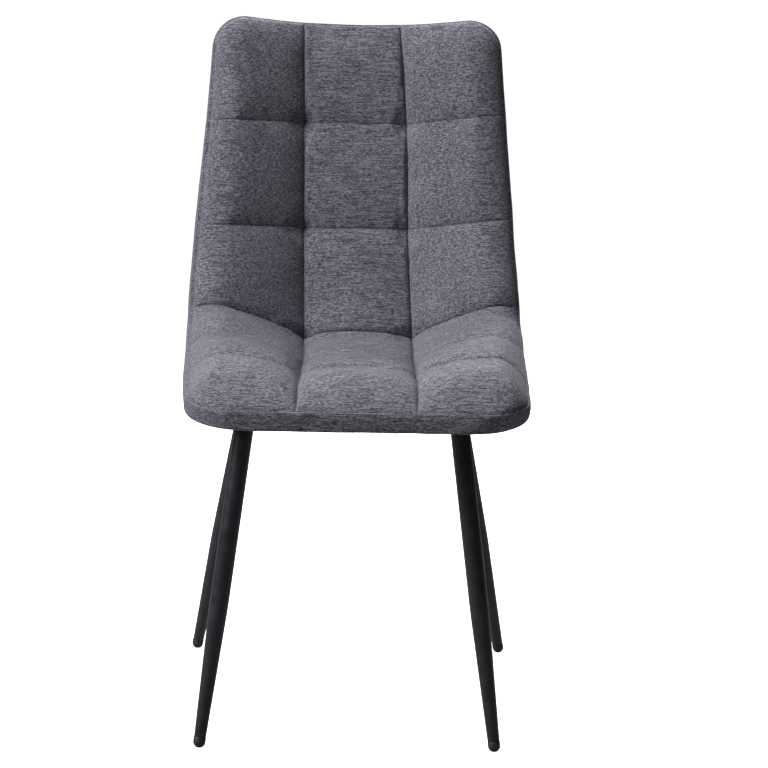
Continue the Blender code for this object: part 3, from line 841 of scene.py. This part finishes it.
def build_dust_cover():
    rows, columns = 130, 110
    s = np.linspace(DUST_FRONT, SEAT_FLAT, rows)[:, None]
    x = np.linspace(-DUST_REACH, DUST_REACH, columns)[None, :]
    x, s = np.broadcast_arrays(x, s)
    border = np.minimum(DUST_REACH - np.abs(x), np.minimum(s - DUST_FRONT, SEAT_FLAT - s))
    height = -PLY - GAP - SKIN - GAP
    top = shell_point(x, s, height)
    free = 1 - near_bar(top[..., 1])
    hem = np.clip((HEM - border) / 0.0012, 0, 1) * 0.0008
    ripple = np.maximum(rolling(np.stack([x, s, x * 0], -1), 26, 4.0) * 0.0014 + 0.0005, 0)
    ripple = ripple * np.clip((border - HEM) / 0.02, 0, 1)
    thick = DUST_COVER + (hem + ripple) * free
    bottom = shell_point(x, s, height - thick)
    cover = closed_sheet("under_seat_dust_cover", top, bottom, NONWOVEN_LOOK)
    place(cover, "black_nonwoven", "dust_cover")


# ---------------- band and stitching


def outline(count):
    """Even spots once round: x on the upper and the lower outline, s, the way gone, and the whole way."""
    zone = 0.06
    corner_spots, side_spots, end_spots = 240, 700, 120
    corner = np.linspace(0, zone, corner_spots)
    side = np.linspace(zone, SHELL_LENGTH - zone, side_spots)[1:]
    top_corner = np.linspace(SHELL_LENGTH - zone, SHELL_LENGTH, corner_spots)[1:]
    s = np.concatenate([corner, side, top_corner])
    span = half_width(s)
    front = np.linspace(-span[0], span[0], end_spots)
    back = np.linspace(span[-1], -span[-1], end_spots)[1:]
    x = np.concatenate([front, span[1:], back, -span[::-1][1:-1]])
    place_s = np.concatenate([front * 0, s[1:], np.full(len(back), SHELL_LENGTH), s[::-1][1:-1]])
    way = np.concatenate([[0], np.cumsum(np.hypot(np.diff(x), np.diff(place_s)))])
    total = way[-1] + math.hypot(x[0] - x[-1], place_s[0] - place_s[-1])
    at = np.linspace(0, total, count, endpoint=False)
    x = np.interp(at, np.append(way, total), np.append(x, x[0]))
    nominal = np.interp(at, np.append(way, total), np.append(place_s, place_s[0]))
    s = nominal + top_shift(x, nominal)
    lower = x * half_width(nominal, 0, FRONT_CORNER_LOW) / half_width(nominal)
    return x, lower, s, at, total


def band_face(across, lift=0.0, count=1100):
    """Points on the band's outside, across from 0 at its lower edge to 1 at its upper one."""
    x, low_x, s, at, total = outline(count)
    upper, lower = cover_point(x, s, BAND_TOP), shell_point(low_x, s, BAND_BOTTOM)
    middle = shell_point((x + low_x) / 2, s, BAND_MIDDLE)
    base = (
        lower * (1 - across) * (1 - 2 * across)
        + middle * 4 * across * (1 - across)
        + upper * across * (2 * across - 1)
    )
    rise = (upper - lower) / np.linalg.norm(upper - lower, axis=-1, keepdims=True)
    out = np.cross(np.roll(base, -1, 0) - np.roll(base, 1, 0), rise)
    out /= np.maximum(np.linalg.norm(out, axis=-1, keepdims=True), 1e-9)
    wave = np.stack([np.cos(at / total * 2 * math.pi), np.sin(at / total * 2 * math.pi), at * 0], -1)
    slack = rolling(wave, 9, 6.0 + 1.3 * across) * BAND_SLACK
    hem_wave = rolling(wave, 14, 30.0) * BAND_HEM_WAVE * max(1 - 4 * across, 0)
    roll = fading(across, *BAND_LOWER_ROLL) + fading(1 - across, *BAND_UPPER_ROLL)
    belly = math.sin(math.pi * across)
    moved = BAND_PUFF * belly**0.7 - roll + slack * belly + lift
    return base + out * moved[:, None] + rise * hem_wave[:, None]


def build_band():
    stations = [0, 0.02, 0.05, 0.10, 0.18, 0.30, 0.42, 0.54, 0.66, 0.78, 0.87, 0.93, 0.965, 0.985, 1]
    outside = [band_face(a) for a in stations]
    inside = [band_face(a, -BAND) for a in stations[::-1]]
    band = loft("boxing_band_cloth", outside + inside, CLOTH_LOOK, closed=True)
    place(band, "grey_fabric", "boxing_band")


def capsule(start, end, radius, sides=6):
    """Rings of a short thread from start to end with round ends."""
    axis = end - start
    length = np.linalg.norm(axis)
    axis = axis / length
    side = np.cross(axis, (0.3, 0.5, 0.81))
    side /= np.linalg.norm(side)
    other = np.cross(axis, side)
    angle = np.linspace(0, 2 * math.pi, sides, endpoint=False)
    rings = []
    for along, size in ((0, 0.35), (0.12, 0.8), (0.3, 1), (0.7, 1), (0.88, 0.8), (1, 0.35)):
        ring = np.cos(angle)[:, None] * side + np.sin(angle)[:, None] * other
        rings.append(start + axis * length * along + ring * radius * size)
    return np.array(rings)


def threads(name, runs, radius):
    """Many short threads as one piece."""
    points = []
    faces = []
    for start, end in runs:
        rings = capsule(start, end, radius)
        count, around = rings.shape[:2]
        faces += loft_faces(count, around, start=len(points) * count * around)
        points.append(rings.reshape(-1, 3))
    return mesh_object(name, np.concatenate(points), faces, THREAD_LOOK)


STITCH_PITCH = 0.0042
THREAD_RADIUS = 0.00032


def build_boxing_stitches():
    """A row of stitches on the band, just under its upper seam, each 3/4 of the pitch long."""
    count = int(outline(100)[4] / STITCH_PITCH) * 4
    line = band_face(0.90, THREAD_RADIUS * 0.3, count)
    runs = [(line[k], line[(k + 3) % count]) for k in range(0, count, 4)]
    stitches = threads("boxing_seam_stitches", runs, THREAD_RADIUS)
    place(stitches, "grey_fabric")


# ---------------- leg frames


def leg_line(foot, top):
    base = np.array([*foot, 0.0])
    head = np.array([*top, BAR_BOTTOM_Z - GAP])
    up = (head - base) / np.linalg.norm(head - base)
    return base, up


def ring_axes(up):
    side = np.cross(up, (0, 1, 0))
    side /= np.linalg.norm(side)
    return side, np.cross(up, side)


def leg_ring(base, up, radius, along, ceiling=None, sides=64):
    """A ring round the leg's line; with a ceiling, each point slides up the line to that height."""
    side, other = ring_axes(up)
    angle = np.linspace(0, 2 * math.pi, sides, endpoint=False)
    ring = base + up * along + radius * (np.cos(angle)[:, None] * side + np.sin(angle)[:, None] * other)
    if ceiling is not None:
        ring = ring + up * ((ceiling - ring[:, 2]) / up[2])[:, None]
    return ring


def build_leg(name, foot, top):
    base, up = leg_line(foot, top)
    tip = (CAP_RADIUS - CAP_FLAT) / up[2] + CAP_COLLAR + GAP
    knee = TAPER_LENGTH / up[2]
    soften = 0.012
    stations = [(tip, FOOT_RADIUS - 0.0004), (tip + 0.0004, FOOT_RADIUS)]
    for along in np.linspace(tip + 0.006, knee + soften, 16):
        slope = (LEG_RADIUS - FOOT_RADIUS) / (knee - tip)
        over = np.clip((along - knee + soften) / (2 * soften), 0, 1)
        stations.append((along, FOOT_RADIUS + slope * (along - tip - soften * over**2)))
    stations = [(along, min(radius, LEG_RADIUS)) for along, radius in stations]
    outer = [leg_ring(base, up, radius, along) for along, radius in stations]
    ceiling = BAR_BOTTOM_Z - GAP
    for share in (0.35, 0.7):
        outer.append(leg_ring(base, up, LEG_RADIUS, knee + (ceiling / up[2] - knee) * share))
    outer.append(leg_ring(base, up, LEG_RADIUS, 0, ceiling))
    inner = [leg_ring(base, up, LEG_RADIUS - LEG_WALL, 0, ceiling)]
    inner.append(leg_ring(base, up, LEG_RADIUS - LEG_WALL, knee))
    inner.append(leg_ring(base, up, FOOT_RADIUS - LEG_WALL, tip))
    leg = loft(f"{name}_tube", outer + inner, STEEL_LOOK, closed=True, sharp=40)
    place(leg, "black_steel", name)


def build_weld(name, foot, top):
    """A rippled fillet where the leg meets the crossbar."""
    base, up = leg_line(foot, top)
    sides = 240
    path = leg_ring(base, up, LEG_RADIUS + 0.0004, 0, BAR_BOTTOM_Z - 0.0007, sides)
    middle = path.mean(0)
    out = path - middle
    out /= np.linalg.norm(out, axis=1, keepdims=True)
    ripple = 1 + 0.10 * np.sin(np.arange(sides) / sides * 2 * math.pi * 30)
    rings = []
    for angle in np.linspace(0, 2 * math.pi, 12, endpoint=False):
        offset = out * math.cos(angle) * 0.0019 + np.array([0, 0, 1.0]) * math.sin(angle) * 0.0014
        rings.append(path + offset * ripple[:, None])
    rings = np.array(rings)
    rings[..., 2] = np.minimum(rings[..., 2], BAR_BOTTOM_Z - 0.00005)
    place(loft(f"{name}_weld", rings, STEEL_LOOK, closed=True), "black_steel")


def build_cap(name, foot, top):
    base, up = leg_line(foot, top)
    middle = (CAP_RADIUS - CAP_FLAT) / up[2]
    shoulder = middle + CAP_COLLAR
    stem = FOOT_RADIUS - LEG_WALL - GAP
    profile = [(stem - 0.0005, shoulder + CAP_STEM), (stem, shoulder + CAP_STEM - 0.001), (stem, shoulder)]
    profile += [(CAP_RADIUS - 0.0004, shoulder), (CAP_RADIUS, shoulder - 0.0005), (CAP_RADIUS, middle)]
    for k in range(1, 25):
        angle = math.pi / 2 * k / 24.5
        profile.append((CAP_RADIUS * math.cos(angle), middle - CAP_RADIUS * math.sin(angle)))
    rings = np.array([leg_ring(base, up, radius, along, None, 48) for radius, along in profile])
    rings[..., 2] = np.maximum(rings[..., 2], 0)
    place(loft(f"{name}_glide", rings, PLASTIC_LOOK, sharp=40), "black_plastic", name)


def slab(name, half_x, half_y, corner, low, high, edge, centre, look):
    """A flat bar with round corners and softened edges."""
    rings = []
    for k in range(10):
        angle = math.pi / 2 * (k % 5) / 4
        rising = k < 5
        inset = edge * (1 - math.sin(angle)) if rising else edge * (1 - math.cos(angle))
        z = low + edge * (1 - math.cos(angle)) if rising else high - edge * (1 - math.sin(angle))
        ring = []
        for sign_x, sign_y, start in ((1, 1, 0), (-1, 1, 90), (-1, -1, 180), (1, -1, 270)):
            for step in range(9):
                turn = math.radians(start + 90 * step / 8)
                radius = corner - inset
                x = sign_x * (half_x - corner) + radius * math.cos(turn)
                y = sign_y * (half_y - corner) + radius * math.sin(turn)
                ring.append((centre[0] + x, centre[1] + y, z))
        rings.append(ring)
    return loft(name, rings, look, sharp=45)


def bored(piece, holes, radius, low, high, sides=32):
    """The piece with upright holes through it."""
    bm = bmesh.new()
    for x, y in holes:
        place_at = Matrix.Translation((x, y, (low + high) / 2))
        bmesh.ops.create_cone(
            bm, cap_ends=True, segments=sides, radius1=radius, radius2=radius,
            depth=high - low, matrix=place_at,
        )
    mesh = bpy.data.meshes.new("bore")
    bm.to_mesh(mesh)
    bm.free()
    cutter = add_object("bore", mesh, None)
    step = piece.modifiers.new("bore", "BOOLEAN")
    step.object = cutter
    cutter.hide_render = True
    bpy.context.view_layer.update()
    result = bpy.data.meshes.new_from_object(piece.evaluated_get(bpy.context.evaluated_depsgraph_get()))
    piece.modifiers.clear()
    piece.data = result
    bpy.data.objects.remove(cutter, do_unlink=True)


def signed(values):
    return [-v for v in reversed(values)] + list(values)


def bolt_places():
    return [(x, y) for y in (FRONT_LEG_TOP[1], REAR_LEG_TOP[1]) for x in signed(BOLT_X)]


def build_frames():
    for end, foot, top in (("front", FRONT_FOOT, FRONT_LEG_TOP), ("rear", REAR_FOOT, REAR_LEG_TOP)):
        half = top[0] + BAR_OVERHANG
        bar = slab(
            f"{end}_crossbar_flat", half, BAR_WIDTH / 2, BAR_CORNER, BAR_BOTTOM_Z, BAR_TOP_Z, 0.0008,
            (0, top[1]), STEEL_LOOK,
        )
        holes = [(x, top[1]) for x in signed(BOLT_X)]
        bored(bar, holes, CLEARANCE_HOLE, BAR_BOTTOM_Z - 0.005, BAR_TOP_Z + 0.005)
        place(bar, "black_steel", f"{end}_crossbar")
        for word, side in (("left", -1), ("right", 1)):
            spot = (side * foot[0], foot[1]), (side * top[0], top[1])
            build_leg(f"{end}_{word}_leg", *spot)
            build_weld(f"{end}_{word}_leg", *spot)
            build_cap(f"{end}_{word}_foot_cap", *spot)


# ---------------- fasteners


def ring_profile(outer, hole, low, high, edge=0.00015):
    return [
        (outer, high - edge), (outer, low + edge), (outer - edge, low), (hole + edge, low),
        (hole, low + edge), (hole, high - edge), (hole + edge, high), (outer - edge, high),
    ]


def build_bolt(name, x, y, seat):
    tip = seat + BOLT_LENGTH
    low = seat - HEAD_HEIGHT
    profile = [(0, tip), (BOLT_RADIUS - BOLT_CHAMFER, tip)]
    for k in range(THREADS):
        crest = tip - BOLT_CHAMFER - k * THREAD_PITCH
        profile += [(BOLT_RADIUS, crest), (BOLT_RADIUS - THREAD_DEPTH, crest - THREAD_PITCH / 2)]
    profile += [(BOLT_RADIUS, seat), (HEAD_RADIUS - 0.0002, seat), (HEAD_RADIUS, seat - 0.0002)]
    for k in range(7):
        angle = math.pi / 2 * k / 7
        radius = HEAD_FLAT_RADIUS + (HEAD_RADIUS - HEAD_FLAT_RADIUS) * math.cos(angle)
        profile.append((radius, seat - HEAD_RIM - (HEAD_HEIGHT - HEAD_RIM) * math.sin(angle)))
    profile += [(HEAD_FLAT_RADIUS, low), (0, low)]
    bolt = turned(name, profile, ZINC_LOOK, (x, y), 48)
    bored(bolt, [(x, y)], SOCKET_RADIUS, low - SOCKET_DEPTH, low + SOCKET_DEPTH, 6)
    return bolt


def build_fasteners():
    for number, (x, y) in enumerate(bolt_places(), 1):
        flat_top = BAR_BOTTOM_Z - GAP
        spring_top = flat_top - WASHER - GAP
        seat = spring_top - SPRING_WASHER - GAP
        hole = BOLT_RADIUS + GAP
        profile = ring_profile(WASHER_RADIUS, hole, flat_top - WASHER, flat_top)
        flat = turned(f"zinc_flat_washer_{number}", profile, ZINC_LOOK, (x, y), closed=True)
        place(flat, "zinc_steel", f"flat_washer_{number}")
        split = split_ring(f"zinc_spring_washer_{number}", x, y, spring_top - SPRING_WASHER, spring_top, hole)
        place(split, "zinc_steel", f"spring_washer_{number}")
        bolt = build_bolt(f"zinc_button_head_bolt_{number}", x, y, seat)
        place(bolt, "zinc_steel", f"bolt_{number}")
        top = DECK_Z - GAP
        under = top - TEE_FLANGE
        edge = 0.0002
        profile = [
            (TEE_FLANGE_RADIUS - edge, top), (TEE_FLANGE_RADIUS, top - edge), (TEE_FLANGE_RADIUS, under),
            (TEE_BARREL_RADIUS, under), (TEE_BARREL_RADIUS, under - TEE_BARREL + edge),
            (TEE_BARREL_RADIUS - edge, under - TEE_BARREL), (hole, under - TEE_BARREL), (hole, top),
        ]
        nut = turned(f"zinc_tee_nut_{number}", profile, ZINC_LOOK, (x, y), closed=True)
        place(nut, "zinc_steel", f"tee_nut_{number}")


def split_ring(name, x, y, low, high, hole):
    """A spring washer: a ring with a narrow split."""
    gap = math.asin(SPLIT / 2 / SPRING_WASHER_RADIUS)
    rings = []
    section = ring_profile(SPRING_WASHER_RADIUS, hole, low, high)
    for turn in np.linspace(gap, 2 * math.pi - gap, 48):
        rings.append([(x + r * math.cos(turn), y + r * math.sin(turn), z) for r, z in section])
    return loft(name, rings, ZINC_LOOK, sharp=30)


def build_staples():
    """Staples through the dust cover's hem."""
    half_y = (SEAT_FLAT - DUST_FRONT) / 2
    middle_y = FRONT_Y + (SEAT_FLAT + DUST_FRONT) / 2
    low = DECK_Z - PLY - GAP - SKIN - GAP - DUST_COVER - 0.0008
    inset = HEM / 2
    spots = [(x, sign * (half_y - inset), True) for sign in (-1, 1) for x in np.linspace(-0.13, 0.13, 7)]
    for sign in (-1, 1):
        spots += [(sign * (DUST_REACH - inset), y, False) for y in np.linspace(-0.15, 0.15, 8)]
    count = 0
    for x, y, lengthwise in spots:
        y_there = middle_y + y
        if near_bar(np.array(y_there)) > 0:
            continue
        count += 1
        half_x, half_y_there = STAPLE_HALF_LENGTH, STAPLE_HALF_WIRE
        if not lengthwise:
            half_x, half_y_there = half_y_there, half_x
        staple = slab(
            f"dust_cover_staple_{count}", half_x, half_y_there, STAPLE_HALF_WIRE - 0.00001,
            low - STAPLE_HALF_WIRE, low, 0.0002,
            (x, y_there), ZINC_LOOK,
        )
        place(staple, "zinc_steel")


# ---------------- build

build_cover(Quilt(PANEL_COLUMNS, PANEL_ROWS))
build_band()
build_boxing_stitches()
build_outer_cover()
build_dust_cover()
build_staples()
build_foam()
board = build_plywood()
bored(board, bolt_places(), TEE_BARREL_RADIUS + GAP, DECK_Z - 2 * PLY, DECK_Z + PLY)
bored(board, bolt_places(), TEE_FLANGE_RADIUS + GAP, DECK_Z - TEE_FLANGE - GAP, DECK_Z + PLY)
build_frames()
build_fasteners()

# ---------------- floor, light, camera


def stage_look(name, tone, glow):
    look = Look(name, 0.9)
    mottle = look.noise((3, 3, 3), 2.0)
    look.set(Base_Color=look.two_tone(mottle, (tone,) * 3, (tone + 0.02,) * 3))
    look.set(Emission_Color=(1, 1, 1, 1), Emission_Strength=glow)
    return look.material


def build_stage():
    """A paper floor and wall that only the camera sees, and a dull copy that only the light meets."""
    wall_y = 6.0
    bend = 1.5
    profile = [(-7.0, 0.0), (-3.0, 0.0), (0.0, 0.0), (3.0, 0.0)]
    for k in range(13):
        angle = math.pi / 2 * k / 12
        profile.append((wall_y + bend * math.sin(angle), bend * (1 - math.cos(angle))))
    profile.append((wall_y + bend, 7.0))
    xs = np.linspace(-9, 9, 7)
    points = np.array([[(x, y, z) for x in xs] for y, z in profile])
    faces = grid_faces(len(profile), len(xs))
    paper = mesh_object("studio_paper", points, faces, stage_look("studio_paper", 0.8, 1.0))
    dull = mesh_object("studio_floor", points - (0, 0, 0.002), faces, stage_look("studio_floor", 0.2, 0.0))
    paper.visible_diffuse = paper.visible_glossy = paper.visible_shadow = False
    dull.visible_camera = False


SKY = 0.04
LIGHT_AIM = (0, 0, 0.6)
LIGHTS = (
    ("key_softbox", (-2.6, -1.0, 2.1), (1.5, 1.5), 84),
    ("upper_left_softbox", (-1.5, -0.9, 2.9), (1.2, 1.2), 26),
    ("overhead_softbox", (0.0, 0.5, 3.0), (1.6, 1.2), 28),
    ("rear_softbox", (0.3, 1.9, 2.2), (1.6, 1.0), 108),
)


def build_light():
    """Soft boxes aimed at the chair, and a dim sky that only the camera sees as white."""
    for name, spot, size, power in LIGHTS:
        data = bpy.data.lights.new(name, "AREA")
        data.shape = "RECTANGLE"
        data.size, data.size_y = size
        data.energy = power
        softbox = bpy.data.objects.new(name, data)
        bpy.context.scene.collection.objects.link(softbox)
        softbox.location = spot
        softbox.rotation_euler = (Vector(LIGHT_AIM) - Vector(spot)).to_track_quat("-Z", "Y").to_euler()
    world = bpy.data.worlds.new("studio")
    bpy.context.scene.world = world
    world.use_nodes = True
    tree = world.node_tree
    light = tree.nodes["Background"]
    light.inputs["Color"].default_value = (1, 1, 1, 1)
    light.inputs["Strength"].default_value = SKY
    seen = tree.nodes.new("ShaderNodeBackground")
    seen.inputs["Color"].default_value = (1, 1, 1, 1)
    seen.inputs["Strength"].default_value = 1.0
    path = tree.nodes.new("ShaderNodeLightPath")
    mix = tree.nodes.new("ShaderNodeMixShader")
    tree.links.new(path.outputs["Is Camera Ray"], mix.inputs["Fac"])
    tree.links.new(light.outputs["Background"], mix.inputs[1])
    tree.links.new(seen.outputs["Background"], mix.inputs[2])
    tree.links.new(mix.outputs["Shader"], tree.nodes["World Output"].inputs["Surface"])


CAMERA_PLACE = (-0.0047, -2.9733, 0.9126)
CAMERA_TURN = (0.8705, 9.498, 1.122)
CAMERA_LENS = 109.03


def build_camera():
    """The photo's view: turned by yaw, pitched down, and rolled, in degrees."""
    yaw, pitch, roll = (math.radians(angle) for angle in CAMERA_TURN)
    forward = Vector((math.sin(yaw) * math.cos(pitch), math.cos(yaw) * math.cos(pitch), -math.sin(pitch)))
    right = Vector((math.cos(yaw), -math.sin(yaw), 0))
    up = right.cross(forward)
    x = math.cos(roll) * right + math.sin(roll) * up
    y = -math.sin(roll) * right + math.cos(roll) * up
    data = bpy.data.cameras.new("camera")
    data.sensor_width = 36
    data.lens = CAMERA_LENS
    data.clip_end = 100
    camera = bpy.data.objects.new("camera", data)
    bpy.context.scene.collection.objects.link(camera)
    turn = Matrix((x, y, -forward)).transposed()
    camera.matrix_world = Matrix.Translation(CAMERA_PLACE) @ turn.to_4x4()
    bpy.context.scene.camera = camera


build_stage()
build_light()
build_camera()
bpy.context.scene.view_settings.view_transform = "Standard"
